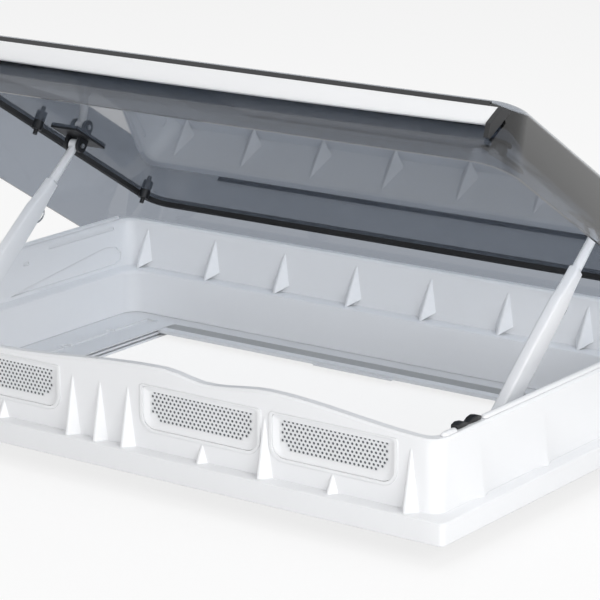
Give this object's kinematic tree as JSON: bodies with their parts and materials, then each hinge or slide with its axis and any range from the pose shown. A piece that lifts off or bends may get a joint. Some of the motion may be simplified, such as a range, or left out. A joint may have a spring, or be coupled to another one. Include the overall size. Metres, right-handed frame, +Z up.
{
  "type": "deck hatch",
  "caption": "Rectangular deck hatch: white moulded frame with vent grilles, a hinged double-glazed smoked lid held open by side stay arms, turn latches and pull-across blinds.",
  "frame": {"origin": "middle of the footprint with the lid open, on the underside of the interior trim ring", "axes": "+X along the hinge, +Y from the front wall to the hinge, +Z up out of the deck"},
  "size_m": [0.974, 0.6792, 0.4608],
  "materials": {
    "frame_white": "satin white moulding",
    "trim_white": "fine matt white",
    "grille_white": "perforated, satin",
    "smoked_acrylic": "polished, see-through",
    "black_plastic": "satin black",
    "black_rubber": "matt",
    "steel": "drawn wire and rod",
    "blind_fabric": "pleated"
  },
  "bodies": {
    "frame": {"outer_frame": "frame_white", "deck_gasket": "black_rubber", "vent_grille_1": "grille_white", "vent_grille_2": "grille_white", "vent_grille_3": "grille_white", "vent_grille_4": "grille_white", "side_bead_left_front": "frame_white", "side_bead_left_rear": "frame_white", "side_bead_right_front": "frame_white", "side_bead_right_rear": "frame_white", "lid_catch_left": "black_plastic", "lid_catch_right": "black_plastic", "trim_frame": "trim_white", "blind_pleats": "blind_fabric", "screen_pleats": "blind_fabric", "arm_track_left": "trim_white", "arm_track_right": "trim_white", "hinge_base": "black_plastic", "hinge_pin": "steel"},
    "lid": {"outer_dome": "smoked_acrylic", "inner_pane": "smoked_acrylic", "pane_seal": "black_rubber", "hinge_leaf": "black_plastic", "pane_screw_left_1": "black_plastic", "pane_screw_left_2": "black_plastic", "pane_screw_right_1": "black_plastic", "pane_screw_right_2": "black_plastic", "arm_bracket_left": "black_plastic", "arm_bracket_right": "black_plastic", "front_bar": "frame_white", "bar_bracket_left": "black_plastic", "bar_bracket_right": "black_plastic", "latch_base_left": "black_plastic", "latch_base_right": "black_plastic"},
    "stay_arm_left": {"arm_head_left": "frame_white", "arm_sleeve_left": "frame_white", "arm_pin_left": "steel", "arm_peg_left": "black_plastic", "arm_hook_left": "steel"},
    "stay_arm_right": {"arm_head_right": "frame_white", "arm_sleeve_right": "frame_white", "arm_pin_right": "steel", "arm_peg_right": "black_plastic", "arm_hook_right": "steel"},
    "latch_left": {"latch_handle_left": "black_plastic"},
    "latch_right": {"latch_handle_right": "black_plastic"},
    "blind_bar": {"blind_pull_bar": "trim_white"},
    "screen_bar": {"screen_pull_bar": "trim_white"}
  },
  "joints": [
    {"name": "lid_hinge", "type": "hinge", "parent": "frame", "child": "lid", "pos_m": [0, 0.28845, 0.0563], "axis": [-1, 0, 0], "range_deg": [-31.3, 0]},
    {"name": "stay_left_pivot", "type": "hinge", "parent": "lid", "child": "stay_arm_left", "pos_m": [-0.39, 0.10265, 0.26465], "axis": [1, 0, 0], "range_deg": [-60, 1]},
    {"name": "stay_right_pivot", "type": "hinge", "parent": "lid", "child": "stay_arm_right", "pos_m": [0.39, 0.10265, 0.26465], "axis": [1, 0, 0], "range_deg": [-60, 1]},
    {"name": "latch_left_turn", "type": "hinge", "parent": "lid", "child": "latch_left", "pos_m": [-0.405, -0.13355, 0.40358], "axis": [0, -0.5195, -0.8545], "range_deg": [0, 90]},
    {"name": "latch_right_turn", "type": "hinge", "parent": "lid", "child": "latch_right", "pos_m": [0.405, -0.13355, 0.40358], "axis": [0, 0.5195, 0.8545], "range_deg": [0, 90]},
    {"name": "blind_slide", "type": "slide", "parent": "frame", "child": "blind_bar", "axis": [0, -1, 0], "range_m": [0, 0.4]},
    {"name": "screen_slide", "type": "slide", "parent": "frame", "child": "screen_bar", "axis": [0, 1, 0], "range_m": [0, 0.4]}
  ],
  "couplings": [
    {"joint": "stay_left_pivot", "follows": "lid_hinge", "ratio": 1.905},
    {"joint": "stay_right_pivot", "follows": "lid_hinge", "ratio": 1.905}
  ]
}
